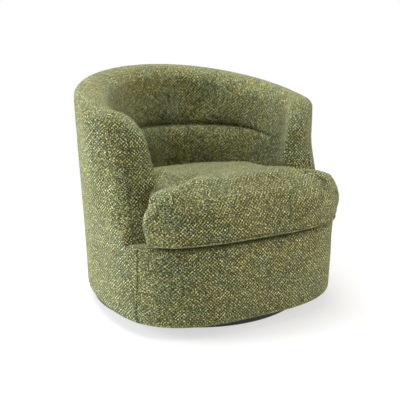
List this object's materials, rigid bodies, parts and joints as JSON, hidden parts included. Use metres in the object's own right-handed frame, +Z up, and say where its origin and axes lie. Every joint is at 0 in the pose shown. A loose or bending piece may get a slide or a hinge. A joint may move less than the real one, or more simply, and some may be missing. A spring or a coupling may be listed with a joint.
{
  "type": "swivel chair",
  "caption": "Upholstered barrel chair with a sloping padded rim, tufted channel across the inside back, loose T cushion and a low round swivel plinth.",
  "frame": {"origin": "on the floor, on the swivel axis under the seat", "axes": "+Z up, +X to the sitter's left, the seat faces -Y"},
  "size_m": [0.8438, 0.8779, 0.7652],
  "materials": {
    "tweed": "coarse boucle tweed",
    "foam": "open cell foam",
    "webbing": "woven strap",
    "black_cloth": "thin non-woven cloth",
    "black_stain": "satin black",
    "plywood": "raw",
    "hardwood": "raw",
    "zinc_steel": "zinc plated",
    "bearing_steel": "polished",
    "spring_wire": "drawn wire",
    "cage_plastic": "satin",
    "black_plastic": "satin"
  },
  "bodies": {
    "base": {"floor_glides": "black_plastic", "edge_strip": "black_stain", "plinth_board": "black_stain", "lower_swivel_plate": "zinc_steel", "plinth_bolts": "zinc_steel", "centre_rivet": "zinc_steel"},
    "ball_ring": {"bearing_balls": "bearing_steel", "ball_cage": "cage_plastic"},
    "chair": {"upper_swivel_plate": "zinc_steel", "beam_bolts": "zinc_steel", "cross_beams": "hardwood", "bottom_ring": "plywood", "front_board": "plywood", "barrel_board": "plywood", "uprights": "hardwood", "seat_ring": "plywood", "top_rail": "hardwood", "sinuous_springs": "spring_wire", "spring_clips": "zinc_steel", "back_webbing": "webbing", "deck_pad": "foam", "inside_back": "tweed", "inside_arm_left": "tweed", "inside_arm_right": "tweed", "arm_front_left": "tweed", "arm_front_right": "tweed", "outside_cover": "tweed", "front_cover": "tweed", "dust_cover": "black_cloth"},
    "seat_cushion": {"cushion_cover": "tweed", "cushion_core": "foam", "cushion_welt": "tweed"}
  },
  "joints": [
    {"name": "swivel", "type": "hinge", "parent": "base", "child": "chair", "pos_m": [0, 0, 0.0405], "axis": [0, 0, 1], "continuous": true},
    {"name": "ball_roll", "type": "hinge", "parent": "base", "child": "ball_ring", "pos_m": [0, 0, 0.0405], "axis": [0, 0, 1], "continuous": true},
    {"name": "cushion_lift", "type": "slide", "parent": "chair", "child": "seat_cushion", "axis": [0, 0, 1], "range_m": [0, 0.56]}
  ],
  "couplings": [
    {"joint": "ball_roll", "follows": "swivel", "ratio": 0.5}
  ]
}
